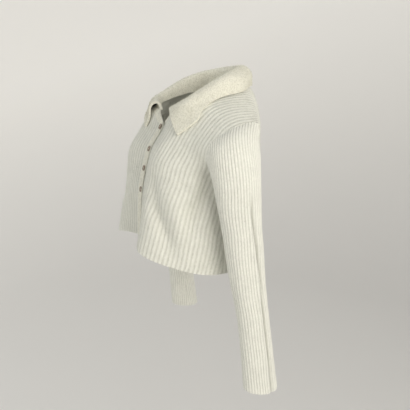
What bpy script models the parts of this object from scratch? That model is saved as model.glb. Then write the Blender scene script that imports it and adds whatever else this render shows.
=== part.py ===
"""Cropped rib-knit polo cardigan, worn form, hollow.

Metres.  The wearer's front faces -Y, the wearer's left is +X, up is +Z.
The origin is the middle of the neck opening, level with the neck side of the
shoulder seams; the garment hangs from there.
"""
import bpy
import bmesh
import numpy as np

for item in list(bpy.data.objects):
    bpy.data.objects.remove(item, do_unlink=True)

# ---------------------------------------------------------------- named sizes
RIB = 0.0092            # one rib of the body, crest to crest, as the wearer stretches it
SLEEVE_RIB = 0.0058     # the same rib on the empty sleeves
RIB_RISE = 0.0015       # crest over valley
WALL = 0.0022           # knitted ground under the ribs
SEAM = 0.00034          # space left between two sewn pieces
BAND_WIDTH = 0.030      # button band
BAND_WALL = 0.0022
BAND_LIFT = 0.0018      # right band out, left band in
BAND_TOP = 0.84         # level on the front where both bands end
COLLAR_WALL = 0.0030
BUTTON_RADIUS = 0.0063
BUTTON_HEIGHT = 0.0026
BUTTON_SEAT = 0.0003    # space under a button
BUTTON_HEIGHTS = (-0.088, -0.134, -0.175, -0.221)

# ---------------------------------------------------------------- form tables
# closed armhole of the left side, from the shoulder forwards and round
ARMHOLE = [
    # x      y       z
    (0.2040, 0.0010, -0.0680),    # shoulder
    (0.1995, -0.0440, -0.0770),   # front shoulder
    (0.1890, -0.0850, -0.1070),   # front
    (0.1765, -0.0800, -0.1540),   # front low
    (0.1660, -0.0380, -0.1930),   # under the arm
    (0.1710, 0.0010, -0.1720),    # back low
    (0.1840, 0.0110, -0.1300),    # back
    (0.1975, 0.0100, -0.0930),    # back shoulder
]
UNDERARM = 0.5

# left half sections; level runs from the hem 0 to the shoulder seam 1 and on
# to the back hem 2; edge is a side-seam place or a place on the armhole
SECTIONS = [
    # level  centre y, z        fold x, y, z              flank x, y, z             edge
    (0.00, (-0.167, -0.328), (0.078, -0.198, -0.334), (0.130, -0.142, -0.361), (0.157, -0.045, -0.381)),
    (0.14, (-0.166, -0.290), (0.079, -0.188, -0.288), (0.136, -0.136, -0.305), (0.160, -0.042, -0.322)),
    (0.30, (-0.163, -0.232), (0.080, -0.177, -0.230), (0.143, -0.127, -0.240), (0.162, -0.038, -0.255)),
    (0.46, (-0.153, -0.178), (0.082, -0.167, -0.177), (0.145, -0.122, -0.180), 0.500),
    (0.53, (-0.146, -0.153), (0.082, -0.164, -0.152), (0.144, -0.119, -0.154), 0.415),
    (0.60, (-0.137, -0.128), (0.082, -0.154, -0.128), (0.143, -0.112, -0.128), 0.330),
    (0.73, (-0.110, -0.084), (0.086, -0.125, -0.086), (0.141, -0.095, -0.087), 0.225),
    (0.85, (-0.096, -0.050), (0.086, -0.097, -0.047), (0.139, -0.060, -0.052), 0.120),
    (0.93, (-0.050, -0.022), (0.092, -0.042, -0.024), (0.141, -0.024, -0.037), 0.050),
    (1.00, (0.010, 0.000), (0.094, 0.024, -0.012), (0.144, 0.022, -0.040), 0.000),
    (1.08, (0.074, 0.004), (0.080, 0.060, -0.016), (0.138, 0.040, -0.050), -0.040),
    (1.22, (0.092, -0.060), (0.068, 0.084, -0.066), (0.129, 0.051, -0.080), -0.120),
    (1.38, (0.098, -0.128), (0.070, 0.088, -0.128), (0.130, 0.050, -0.130), -0.245),
    (1.46, (0.099, -0.157), (0.070, 0.089, -0.157), (0.132, 0.046, -0.158), -0.360),
    (1.54, (0.100, -0.185), (0.070, 0.090, -0.185), (0.135, 0.042, -0.186), -0.500),
    (1.70, (0.102, -0.252), (0.070, 0.094, -0.252), (0.134, 0.044, -0.252), (0.162, -0.038, -0.255)),
    (1.86, (0.103, -0.323), (0.071, 0.095, -0.322), (0.132, 0.043, -0.321), (0.160, -0.042, -0.322)),
    (2.00, (0.104, -0.388), (0.072, 0.096, -0.387), (0.131, 0.042, -0.385), (0.157, -0.045, -0.381)),
]

# left sleeve rings below the armhole; tilt turns a ring towards the armhole,
# lean drops its back edge
SLEEVE_RINGS = [
    # level    x       y       z      out     fore   tilt  lean
    (0.07, 0.2025, -0.0395, -0.1430, 0.0520, 0.0485, 60, 0),
    (0.14, 0.2105, -0.0388, -0.1800, 0.0400, 0.0440, 33, 0),
    (0.23, 0.2120, -0.0344, -0.2200, 0.0330, 0.0420, 12, 0),
    (0.34, 0.2120, -0.0254, -0.2800, 0.0290, 0.0400, 0, 3),
    (0.50, 0.2125, -0.0152, -0.3650, 0.0270, 0.0372, 0, 6),
    (0.66, 0.2135, 0.0000, -0.4530, 0.0260, 0.0335, 0, 7),
    (0.83, 0.2160, 0.0124, -0.5450, 0.0255, 0.0345, 0, 8),
    (1.00, 0.2190, 0.0222, -0.6330, 0.0255, 0.0375, 0, 8),
]

# where the front panel begins, measured from the centre front over the cloth
NECK_FRONT = [
    # level, from centre
    (0.00, 0.0154), (0.73, 0.0154), (0.76, 0.0320), (0.79, 0.0500),
    (0.84, 0.0780), (0.92, 0.0950), (1.00, 0.0970),
]
NECK_BACK = [
    (1.00, 0.0970), (1.04, 0.0700), (1.065, 0.0380), (1.076, 0.0000),
]

# left half of the collar, front end to centre back: the level and run on the
# body where it is sewn, the top of its fold, the outside of its roll, and the
# level, run and lift on the body of the middle of its fall and of its edge
COLLAR_LEFT = [
    # base, fold, roll, then fall and edge
    ((0.85, 0.048), (0.049, -0.109, -0.045), (0.062, -0.116, -0.05),
     (0.772, 0.089, 0.0065), (0.698, 0.120, 0.006)),
    ((0.851, 0.0765), (0.084, -0.096, -0.03), (0.096, -0.102, -0.035),
     (0.825, 0.114, 0.008), (0.785, 0.142, 0.0058)),
    ((0.88, 0.0842), (0.092, -0.076, -0.017), (0.105, -0.08, -0.022),
     (0.865, 0.118, 0.009), (0.845, 0.135, 0.0052)),
    ((0.92, 0.0926), (0.095, -0.048, 0.0), (0.108, -0.049, -0.005),
     (0.913, 0.119, 0.01), (0.903, 0.127, 0.0052)),
    ((0.96, 0.0936), (0.094, -0.017, 0.016), (0.107, -0.016, 0.011),
     (0.957, 0.113, 0.011), (0.952, 0.117, 0.0055)),
    ((1.0, 0.0946), (0.082, 0.016, 0.029), (0.095, 0.021, 0.023),
     (1.0, 0.105, 0.013), (1.0, 0.108, 0.006)),
    ((1.034, 0.066), (0.056, 0.048, 0.037), (0.064, 0.059, 0.03),
     (1.052, 0.074, 0.014), (1.056, 0.076, 0.0072)),
    ((1.054, 0.036), (0.031, 0.064, 0.04), (0.035, 0.077, 0.0332),
     (1.086, 0.042, 0.014), (1.094, 0.044, 0.0072)),
    ((1.066, 0.0), (0.0, 0.069, 0.041), (0.0, 0.083, 0.034),
     (1.098, 0.0, 0.014), (1.108, 0.0, 0.0072)),
]

# the right wing, mirrored here, stands in an open loop at its front and hangs
# steeper; the rest of the right half is as the left
COLLAR_RIGHT = [
    # base, fold, roll, then fall and edge
    ((0.85, 0.048), (0.05, -0.109, -0.0365), (0.062, -0.115, -0.043),
     (0.75, 0.061, 0.009), (0.703, 0.062, 0.0066)),
    ((0.851, 0.0765), (0.083, -0.097, -0.027), (0.095, -0.102, -0.033),
     (0.808, 0.102, 0.0092), (0.768, 0.11, 0.0082)),
] + COLLAR_LEFT[2:]

# soft troughs, and ridges where depth is below 0: from x, y, z to x, y, z, width, depth
LEFT_CREASES = [
    ((0.086, -0.180, -0.230), (0.126, -0.153, -0.278), 0.013, 0.005),
    ((0.128, -0.142, -0.194), (0.156, -0.100, -0.191), 0.010, 0.003),
    ((0.168, -0.078, -0.190), (0.147, -0.116, -0.320), 0.016, 0.007),
]
RIGHT_CREASES = [
    ((-0.090, -0.178, -0.240), (-0.128, -0.150, -0.290), 0.015, 0.005),
    ((-0.168, -0.078, -0.190), (-0.150, -0.112, -0.310), 0.016, 0.006),
]
BACK_CREASES = [
    ((0.152, 0.020, -0.185), (0.118, 0.056, -0.300), 0.018, 0.005),
    ((0.055, 0.092, -0.200), (0.030, 0.102, -0.330), 0.020, 0.004),
]
SLEEVE_CREASES = [
    ((0.244, -0.033, -0.200), (0.238, 0.003, -0.400), 0.009, 0.005),
    ((0.238, 0.003, -0.400), (0.242, 0.033, -0.610), 0.009, 0.004),
    ((0.178, -0.040, -0.230), (0.187, -0.008, -0.430), 0.011, 0.004),
]

# ---------------------------------------------------------------- materials
def material(name, colour, roughness, sheen=0.0):
    made = bpy.data.materials.new(name)
    made.use_nodes = True
    shader = made.node_tree.nodes["Principled BSDF"]
    shader.inputs["Base Color"].default_value = colour + (1.0,)
    shader.inputs["Roughness"].default_value = roughness
    shader.inputs["Metallic"].default_value = 0.0
    shader.inputs["Sheen Weight"].default_value = sheen
    return made


RIB_KNIT = material("rib_knit", (0.80, 0.76, 0.68), 0.95, 0.3)
FLAT_KNIT = material("flat_knit", (0.78, 0.72, 0.61), 0.90, 0.2)
BUTTON = material("button", (0.36, 0.27, 0.19), 0.35)


# ---------------------------------------------------------------- curves
def spline(knots, points, at, start=None, end=None):
    """Smooth cubic through points at knots; free ends unless a slope is given."""
    k = np.asarray(knots, float)
    p = np.asarray(points, float)
    shape = p.shape[1:]
    p = p.reshape(len(k), -1)
    n, h = len(k), np.diff(k)
    a, b = np.zeros((n, n)), np.zeros((n, p.shape[1]))
    for i in range(1, n - 1):
        a[i, i - 1], a[i, i], a[i, i + 1] = h[i], 2 * (h[i - 1] + h[i]), h[i - 1]
        b[i] = 3 * (h[i] * (p[i] - p[i - 1]) / h[i - 1] + h[i - 1] * (p[i + 1] - p[i]) / h[i])
    if start is None:
        a[0, 0], a[0, 1], b[0] = 2, 1, 3 * (p[1] - p[0]) / h[0]
    else:
        a[0, 0], b[0] = 1, start
    if end is None:
        a[-1, -1], a[-1, -2], b[-1] = 2, 1, 3 * (p[-1] - p[-2]) / h[-1]
    else:
        a[-1, -1], b[-1] = 1, end
    m = np.linalg.solve(a, b)
    at = np.atleast_1d(np.asarray(at, float))
    i = np.clip(np.searchsorted(k, at, side="right") - 1, 0, n - 2)
    w, g = ((at - k[i]) / h[i])[:, None], h[i][:, None]
    r = ((2 * w**3 - 3 * w**2 + 1) * p[i] + (w**3 - 2 * w**2 + w) * g * m[i]
         + (3 * w**2 - 2 * w**3) * p[i + 1] + (w**3 - w**2) * g * m[i + 1])
    return r.reshape((len(at),) + shape)


def unit(v):
    return v / np.linalg.norm(v, axis=-1, keepdims=True)


def lengths(points):
    """Length run so far along a polyline."""
    return np.concatenate([[0.0], np.cumsum(np.linalg.norm(np.diff(points, axis=0), axis=1))])


def sample(at, knots, values):
    return np.stack([np.interp(at, knots, values[:, i]) for i in range(values.shape[1])], 1)


def armhole(place):
    """Point on the armhole; 0 is the shoulder, 0.25 the front, 0.5 under the arm."""
    p = np.asarray(ARMHOLE)
    n = len(p)
    return spline(np.arange(-3, n + 4) / n, np.vstack([p[-3:], p, p[:4]]), np.mod(place, 1.0))


# ---------------------------------------------------------------- body form
FINE = 80


def section(row):
    level, centre, fold, flank, edge = row
    on_side = isinstance(edge, tuple)
    end = np.array(edge) if on_side else armhole([edge])[0]
    p = np.array([(0.0,) + centre, fold, flank, end])
    run = lengths(p)
    slope = (0.0, 1.0 if level < 1 else -1.0, 0.0) if on_side or abs(edge) == UNDERARM else None
    return spline(run, p, np.linspace(0, run[-1], FINE + 1), start=(1.0, 0.0, 0.0), end=slope)


LEVELS = [row[0] for row in SECTIONS]
BODY_GRID = np.array([section(row) for row in SECTIONS])


def body_curve(level):
    """Points, outward normals and run of one section, centre to edge."""
    d = 0.004
    low, mid, high = spline(LEVELS, BODY_GRID, [level - d, level, level + d])
    along = np.gradient(mid, axis=0)
    return mid, unit(np.cross(along, high - low)), lengths(mid)


SLEEVE_TOP = 0.90    # body level met by the line up the sleeve's outer side


def panel_armhole(places):
    """The panels' own edge round the arm, walked by its length like the rings below it."""
    halves = []
    for under in (0.46, 1.54):
        edge = spline(LEVELS, BODY_GRID[:, -1], np.linspace(SLEEVE_TOP, under, 400))
        run = lengths(edge)
        halves.append((run / run[-1] / 2, edge))
    fore, rear = sample(np.minimum(places, 0.5), *halves[0]), sample(np.minimum(1 - places, 0.5), *halves[1])
    return np.where(places[:, None] <= 0.5, fore, rear)


# ---------------------------------------------------------------- sleeve form
PLACES = np.linspace(0, 1, 2 * FINE + 1)


def ring(row):
    _, x, y, z, out, fore, tilt, lean = row
    turn, t = 2 * np.pi * PLACES, np.radians(tilt)
    across, back = out * np.cos(turn), -fore * np.sin(turn)
    height = z + across * np.sin(t) - back * np.tan(np.radians(lean))
    return np.stack([x + across * np.cos(t), y + back, height], 1)


RING_LEVELS = [0.0] + [row[0] for row in SLEEVE_RINGS]
RING_GRID = np.array([panel_armhole(PLACES)] + [ring(row) for row in SLEEVE_RINGS])


def sleeve_curve(level):
    """Points, outward normals and run of one ring, from under the arm by the front."""
    d = 0.004
    low, mid, high = spline(RING_LEVELS, RING_GRID, [level - d, level, level + d])
    # begin under the arm, run over the back, the top and the front
    order = np.concatenate([np.arange(FINE, 2 * FINE), np.arange(0, FINE + 1)])
    mid, down = mid[order], (high - low)[order]
    along = np.gradient(mid, axis=0)
    along[0] = along[-1] = mid[1] - mid[-2]
    run = lengths(mid)
    return mid, unit(np.cross(along, down)), run - run[FINE]


# ---------------------------------------------------------------- creases
def press(points, normals, creases):
    """Sink points along their normals at soft troughs."""
    sunk = points.copy()
    for a, b, width, depth in creases:
        a, b = np.array(a), np.array(b)
        t = np.clip((points - a) @ (b - a) / ((b - a) @ (b - a)), 0, 1)
        far = np.linalg.norm(points - (a + t[:, None] * (b - a)), axis=1)
        sunk -= normals * (depth * np.exp(-(far / width) ** 2))[:, None]
    return sunk


# ---------------------------------------------------------------- walls
def join(faces, low, low_run, high, high_run):
    """Triangles between two rows, walked together by their run."""
    i = j = 0
    while i < len(low) - 1 or j < len(high) - 1:
        if j == len(high) - 1 or (i < len(low) - 1 and low_run[i + 1] <= high_run[j + 1] + 1e-7):
            faces.append((low[i], low[i + 1], high[j]))
            i += 1
        else:
            faces.append((low[i], high[j + 1], high[j]))
            j += 1


def solid(name, points, faces, made_of, weld=False):
    """One closed body with its faces turned outwards."""
    mesh = bpy.data.meshes.new(name)
    mesh.from_pydata([tuple(map(float, p)) for p in points], [], faces)
    mesh.materials.append(made_of)
    made = bmesh.new()
    made.from_mesh(mesh)
    if weld:
        bmesh.ops.remove_doubles(made, verts=made.verts, dist=1e-7)
    bmesh.ops.recalc_face_normals(made, faces=made.faces)
    if made.calc_volume(signed=True) < 0:
        bmesh.ops.reverse_faces(made, faces=made.faces)
    made.to_mesh(mesh)
    made.free()
    item = bpy.data.objects.new(name, mesh)
    bpy.context.scene.collection.objects.link(item)
    return item


def wall(name, outside, inside, made_of, tube=False, mirror=False, doubled=False):
    """Closed wall from rows of (run, points) outside and inside.

    A tube's rows end where they begin.  A doubled wall is a left half joined
    to its mirror image along every row that begins at the middle.
    """
    points, faces = [], []

    def lay(rows):
        laid = []
        for run, row in rows:
            first, keep = len(points), row[:-1] if tube else row
            points.extend(keep)
            index = list(range(first, first + len(keep)))
            laid.append((index + [first] if tube else index, run))
        for (low, low_run), (high, high_run) in zip(laid, laid[1:]):
            join(faces, low, low_run, high, high_run)
        return laid

    out, inn = lay(outside), lay(inside)
    for end in (0, -1):
        join(faces, out[end][0], out[end][1], inn[end][0], inn[end][1])
    for side in () if tube else (0, -1):
        for r in range(len(out) - 1):
            if doubled and side == 0 and out[r][1][0] == 0 and out[r + 1][1][0] == 0:
                continue
            a, b = out[r][0][side], out[r + 1][0][side]
            c, d = inn[r + 1][0][side], inn[r][0][side]
            faces.extend([(a, b, c), (a, c, d)])
    if doubled:
        count = len(points)
        points.extend([p * (-1, 1, 1) for p in points])
        faces.extend([tuple(count + v for v in face) for face in list(faces)])
    if mirror:
        points = [p * (-1, 1, 1) for p in points]
    return solid(name, points, faces, made_of, weld=doubled)


def ribbed(curve, start, stop, creases, stop_normal, fade=0.0):
    """One row of a ribbed wall: outside points with ribs, inside points without."""
    mid, normal, run = curve
    first = int(np.ceil(start / (RIB / 2) + 0.6)) if start != 0 else 1
    last = int(np.floor(stop / (RIB / 2) - 0.6))
    numbers = list(range(first, last + 1))
    out_run = np.array([start] + [n * RIB / 2 for n in numbers] + [stop])
    rise = np.array([RIB_RISE if start == 0 else 0.0] + [RIB_RISE * (n % 2 == 0) for n in numbers] + [0.0])
    rise = rise * np.clip((stop - out_run) / fade, 0, 1) if fade else rise
    in_run = np.array([start] + [n * RIB / 2 for n in numbers if n % 2 == 0] + [stop])
    rows = []
    for at, lift in ((out_run, WALL / 2 + rise), (in_run, np.full(len(in_run), -WALL / 2))):
        p, n = sample(at, run, mid), unit(sample(at, run, normal))
        if start == 0:
            p[0, 0] = n[0, 0] = 0.0
        n[-1] = stop_normal
        rows.append((at, press(p, n, creases) + n * lift[:, None]))
    return rows


# ---------------------------------------------------------------- sewn edges
FRONT_ROWS = [0.0, 0.15, 0.30, 0.46, 0.49, 0.53, 0.60, 0.67, 0.73, 0.76, 0.79, 0.84, 0.92, 1.0]
BACK_ROWS = [1.0, 1.04, 1.065, 1.076, 1.15, 1.24, 1.33, 1.42, 1.47, 1.51, 1.54, 1.70, 1.85, 2.0]
SLEEVE_ROWS = [0.0, 0.04, 0.09, 0.15, 0.23, 0.33, 0.45, 0.58, 0.72, 0.86, 1.0]
ON_ARMHOLE = [level for level in FRONT_ROWS + BACK_ROWS[1:] if 0.46 <= level <= 1.54]
FRONT_LENGTH = 0.55     # hem to shoulder over the cloth
SLEEVE_LENGTH = 0.56


def nearest(points, point):
    return int(np.argmin(np.linalg.norm(points - point, axis=1)))


def edge_normal(level):
    """Direction through both walls where two pieces are sewn."""
    mid, normal, _ = body_curve(level)
    if 0.46 <= level <= 1.54:
        ring_mid, ring_normal, _ = sleeve_curve(0.0)
        ring_normal = sleeve_curve(0.012)[1]
        other = ring_normal[nearest(ring_mid, mid[-1])]
    else:
        other = body_curve(2.0 - level)[1][-1]
    return unit(normal[-1] + other)


EDGE_NORMALS = {level: edge_normal(level) for level in FRONT_ROWS + BACK_ROWS}


def stepped(level, side):
    """A row on the shoulder seam, moved off it by half the seam space."""
    return level + side * SEAM / 2 / FRONT_LENGTH if level == 1.0 else level


def under_arm(level):
    """Width beside the armhole over which ribs lie down where the sleeve presses."""
    return 0.015 if 0.45 < level < 0.62 or 1.38 < level < 1.55 else 0.0


# ---------------------------------------------------------------- body panels
def front(name, mirror, creases):
    rows = []
    for level in FRONT_ROWS:
        curve = body_curve(stepped(level, -1))
        start = float(np.interp(level, *zip(*NECK_FRONT)))
        stop = curve[2][-1] - SEAM / 2
        rows.append(ribbed(curve, start, stop, creases, EDGE_NORMALS[level], under_arm(level)))
    return wall(name, [r[0] for r in rows], [r[1] for r in rows], RIB_KNIT, mirror=mirror)


def back(name):
    rows = []
    for level in BACK_ROWS:
        curve = body_curve(stepped(level, 1))
        start = float(np.interp(level, *zip(*NECK_BACK)))
        stop = curve[2][-1] - SEAM / 2
        rows.append(ribbed(curve, start, stop, BACK_CREASES, EDGE_NORMALS[level], under_arm(level)))
    return wall(name, [r[0] for r in rows], [r[1] for r in rows], RIB_KNIT, doubled=True)


# ---------------------------------------------------------------- sleeves
def seam_ring():
    """The sleeve's first row lies on the straight runs between the panels' edge points."""
    ring_mid, ring_normal, ring_run = sleeve_curve(0.0)
    marks = []
    for level in ON_ARMHOLE:
        point = body_curve(level)[0][-1]
        marks.append((ring_run[nearest(ring_mid, point)], point, EDGE_NORMALS[level]))
    marks = [m for m in sorted(marks[1:-1], key=lambda m: m[0])]
    under = (body_curve(0.46)[0][-1] + body_curve(1.54)[0][-1]) / 2
    n = unit(EDGE_NORMALS[0.46] + EDGE_NORMALS[1.54])
    marks = [(ring_run[0], under, n)] + marks + [(ring_run[-1], under, n)]
    return [np.array([m[i] for m in marks]) for i in range(3)]


def sleeve(name, mirror, creases):
    marks, mark_points, mark_normals = seam_ring()
    outside, inside, half = [], [], SLEEVE_RIB / 2
    for level in SLEEVE_ROWS:
        mid, normal, run = sleeve_curve(level)
        lo, hi = run[0], run[-1]
        low, high = int(np.ceil(lo / half + 0.6)), int(np.floor(hi / half - 0.6))
        numbers = list(range(low, high + 1))
        out_run = np.array([lo] + [n * half for n in numbers] + [hi])
        clear = np.clip(np.minimum(out_run - lo, hi - out_run) / 0.04 + 5 * level - 0.2, 0, 1)
        rise = np.array([0.0] + [RIB_RISE * (n % 2 == 0) for n in numbers] + [0.0]) * clear
        in_run = np.array([lo] + [n * half for n in numbers if n % 4 == 0] + [hi])
        plain = np.full(len(in_run), -WALL / 2)
        for at, lift, rows in ((out_run, WALL / 2 + rise, outside), (in_run, plain, inside)):
            if level == 0.0:
                at = at.copy()
                for m in marks[1:-1]:
                    at[1 + int(np.argmin(np.abs(at[1:-1] - m)))] = m
                p, n = sample(at, marks, mark_points), unit(sample(at, marks, mark_normals))
                down = sample(at, run, sleeve_curve(0.02)[0]) - sample(at, run, mid)
                tight = np.clip(1 - np.minimum(at - lo, hi - at) / 0.035, 0, 1)[:, None]
                p = p + unit(down) * (SEAM / 2 + 0.0003 * tight)
            else:
                p, n = sample(at, run, mid), unit(sample(at, run, normal))
                n[0] = n[-1] = unit(n[0] + n[-1])
            rows.append((at, press(p, n, creases) + n * lift[:, None]))
    return wall(name, outside, inside, RIB_KNIT, tube=True, mirror=mirror)


# ---------------------------------------------------------------- button bands
def on_body(level, run, creases=()):
    """Point and outward normal at a signed distance from the centre."""
    mid, normal, lengths_ = body_curve(level)
    p, n = sample([abs(run)], lengths_, mid), unit(sample([abs(run)], lengths_, normal))
    p = press(p, n, creases)[0]
    return (p * (-1, 1, 1), n[0] * (-1, 1, 1)) if run < 0 else (p, n[0])


def band_rows(lift):
    outside, inside = [], []
    for level in [r for r in FRONT_ROWS if r <= BAND_TOP]:
        seam = float(np.interp(level, *zip(*NECK_FRONT))) - SEAM
        at = np.linspace(seam - BAND_WIDTH, seam, 5)
        both = [on_body(level, a) for a in at]
        p, n = np.array([b[0] for b in both]), np.array([b[1] for b in both])
        outside.append((at, p + n * (lift + BAND_WALL / 2)))
        inside.append((at, p + n * (lift - BAND_WALL / 2)))
    return outside, inside


def band(name, mirror, lift):
    return wall(name, *band_rows(lift), FLAT_KNIT, mirror=mirror)


# ---------------------------------------------------------------- collar
def collar_form(rows, stations, across, creases):
    """Middle of the left half's cloth, front end to centre back, base to edge."""
    table = []
    for base, fold, roll, fall, edge in rows:
        laid = []
        for level, run, lift in (fall, edge):
            p, n = on_body(level, run, creases)
            laid.append(p + n * lift)
        table.append([on_body(*base, creases)[0], fold, roll] + laid)
    table = np.array(table)
    table[-1, :, 0] = 0.0
    # the other half's stations keep the cloth round across the centre back
    table = np.concatenate([table, table[-2::-1] * (-1, 1, 1)])
    index = np.arange(len(table), dtype=float)
    columns = spline(index, table, stations)
    columns[:, 0] = sample(stations, index, table[:, 0])
    grid = []
    for points in columns:
        run = lengths(points)
        grid.append(spline(run, points, np.linspace(0, run[-1], across)))
    return np.array(grid)


def collar(name):
    stations = np.arange(0, len(COLLAR_LEFT) - 0.75, 0.5)
    left = collar_form(COLLAR_LEFT, stations, 12, LEFT_CREASES)
    right = collar_form(COLLAR_RIGHT, stations, 12, mirrored(RIGHT_CREASES)) * (-1, 1, 1)
    grid = np.concatenate([left, right[-2::-1]])
    normal = unit(np.cross(np.gradient(grid, axis=0), np.gradient(grid, axis=1)))
    run = np.arange(12.0)
    outside = [(run, row) for row in grid + normal * COLLAR_WALL / 2]
    inside = [(run, row) for row in grid - normal * COLLAR_WALL / 2]
    return wall(name, outside, inside, FLAT_KNIT)


# ---------------------------------------------------------------- buttons
BUTTON_PROFILE = [      # share of the radius, share of the height, from the middle of the back
    (0.0, 0.0), (0.62, 0.0), (0.93, 0.30), (1.0, 0.60), (0.90, 1.0), (0.70, 0.92), (0.52, 0.62), (0.0, 0.55),
]


def band_face(lift):
    """Close-set points on the flat facets of the right band's outside."""
    rows = [points * (-1, 1, 1) for _, points in band_rows(lift)[0]]
    fine = []
    for low, high in zip(rows, rows[1:]):
        for t in np.linspace(0, 1, 25):
            fine.append(sample(np.linspace(0, 4, 33), np.arange(5.0), low + (high - low) * t))
    return np.concatenate(fine)


def button(name, height):
    """A dished disc lying flat on the right band at one height."""
    levels = np.linspace(0.2, 0.76, 400)
    middle = [on_body(level, 0.0)[0][2] for level in levels]
    p, n = on_body(float(np.interp(height, middle, levels)), 0.0)
    n = unit(n * (0, 1, 1))
    across = np.array([1.0, 0.0, 0.0])
    up = np.cross(across, n)
    # the button rests on the band's highest point under its own back
    off = band_face(BAND_LIFT) - p
    out = off @ n
    far = np.linalg.norm(off - out[:, None] * n, axis=1) / BUTTON_RADIUS
    back = BUTTON_HEIGHT * np.interp(far, *zip(*BUTTON_PROFILE[:4]))
    base = p + n * (np.max((out - back)[far <= 1.0]) + BUTTON_SEAT)
    count = 20
    points, faces, rings = [], [], []
    for r, h in BUTTON_PROFILE:
        if r == 0.0:
            points.append(base + n * h * BUTTON_HEIGHT)
            rings.append([len(points) - 1] * count)
        else:
            turn = np.arange(count) * 2 * np.pi / count
            rings.append(list(range(len(points), len(points) + count)))
            for t in turn:
                round_at = across * np.cos(t) + up * np.sin(t)
                points.append(base + BUTTON_RADIUS * r * round_at + n * h * BUTTON_HEIGHT)
    for a, b in zip(rings, rings[1:]):
        for k in range(count):
            m = (k + 1) % count
            face = [a[k], a[m], b[m], b[k]]
            faces.append(tuple(dict.fromkeys(face)))
    return solid(name, points, faces, BUTTON)


def mirrored(creases):
    other = np.array([-1, 1, 1])
    return [(tuple(a * other), tuple(b * other), width, depth) for a, b, width, depth in creases]


front("front_left", False, LEFT_CREASES)
front("front_right", True, mirrored(RIGHT_CREASES))
back("back")
sleeve("sleeve_left", False, SLEEVE_CREASES)
sleeve("sleeve_right", True, SLEEVE_CREASES)
band("band_left", False, -BAND_LIFT)
band("band_right", True, BAND_LIFT)
collar("collar")
for number, height in enumerate(BUTTON_HEIGHTS, 1):
    button(f"button_{number}", height)
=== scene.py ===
# %% [markdown]
# # A cropped rib-knit polo cardigan
#
# The real garment is a short, brushed, ivory cardigan. Two fronts and a back are
# knitted as ribs that run straight up the body, two rib tubes make the sleeves,
# and a wide flat-knit collar and two narrow bands finish the opening. It keeps
# the hollow shape that it has when worn, so every knitted piece here is a thin
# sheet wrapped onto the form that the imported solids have.

import bmesh
import bpy
import numpy as np

from mathutils import Matrix


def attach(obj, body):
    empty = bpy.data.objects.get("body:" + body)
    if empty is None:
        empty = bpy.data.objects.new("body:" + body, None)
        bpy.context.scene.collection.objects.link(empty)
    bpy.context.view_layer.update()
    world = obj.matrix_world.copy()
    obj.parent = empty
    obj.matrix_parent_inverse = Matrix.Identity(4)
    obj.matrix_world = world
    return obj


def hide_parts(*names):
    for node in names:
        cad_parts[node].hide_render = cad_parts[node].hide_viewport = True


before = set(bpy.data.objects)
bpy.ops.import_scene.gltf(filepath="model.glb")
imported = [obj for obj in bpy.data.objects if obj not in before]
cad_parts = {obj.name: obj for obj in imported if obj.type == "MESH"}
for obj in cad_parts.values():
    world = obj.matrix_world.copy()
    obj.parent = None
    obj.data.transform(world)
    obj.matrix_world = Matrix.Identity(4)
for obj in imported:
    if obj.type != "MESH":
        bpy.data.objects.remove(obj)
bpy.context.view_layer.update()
print("solids:", ", ".join(sorted(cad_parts)))

# %% [markdown]
# ## Camera
#
# The picture was taken from the wearer's left and a little above. A camera is
# easiest to place on a circle round the neck: an azimuth, a distance and how far
# it looks down. Its lens is given as a share of the picture's width.

# %% Camera
AZIMUTH = 65.0          # degrees round from the front
TURN = 65.51            # degrees that it faces, a touch past the neck
PITCH = 14.87           # degrees down
DISTANCE = 1.035        # from the neck, in metres
LENS_SHARE = 450.0 / 410.0
SENSOR = 36.0           # millimetres


def add(name, data):
    item = bpy.data.objects.new(name, data)
    bpy.context.scene.collection.objects.link(item)
    return item


camera = add("camera", bpy.data.cameras.new("camera"))
camera.data.sensor_width = SENSOR
camera.data.lens = LENS_SHARE * SENSOR
around = np.radians(AZIMUTH)
camera.location = (DISTANCE * np.sin(around), -DISTANCE * np.cos(around), 0.0)
camera.rotation_euler = np.radians((90.0 - PITCH, 0.0, TURN))
bpy.context.scene.camera = camera
place = tuple(round(c, 3) for c in camera.location)
print("camera at", place, "lens", round(camera.data.lens, 1))

# %% [markdown]
# ## Shader maths
#
# A finish is a sum of patterns. Joining Math nodes by hand is slow to read, so one
# small class wraps a socket and lets Python's own signs add the nodes, and one
# method adds any other node. Noise lies on each piece's own Object places.

# %% A class for shader sums
FACTOR, FIRST_COLOUR, SECOND_COLOUR = 0, 6, 7    # the colour inputs of a Mix node


class Wire:
    """A socket of a material that can be used in Python sums."""

    def __init__(self, finish, socket):
        self.finish, self.socket = finish, socket

    def maths(self, operation, *values):
        return self.finish.node("ShaderNodeMath", {"operation": operation}, values)

    def __add__(self, other):
        return self.maths("ADD", self, other)

    def __sub__(self, other):
        return self.maths("SUBTRACT", self, other)

    def __rsub__(self, other):
        return self.maths("SUBTRACT", other, self)

    def __mul__(self, other):
        return self.maths("MULTIPLY", self, other)

    def cosine(self):
        return self.maths("COSINE", self)

    def fraction(self):
        return self.maths("FRACT", self)

    def size(self):
        return self.maths("ABSOLUTE", self)

    def clamped(self):
        return self.finish.node("ShaderNodeClamp", {}, [self])

    def out(self, name):
        """Another output of the same node."""
        return Wire(self.finish, self.socket.node.outputs[name])


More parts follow.
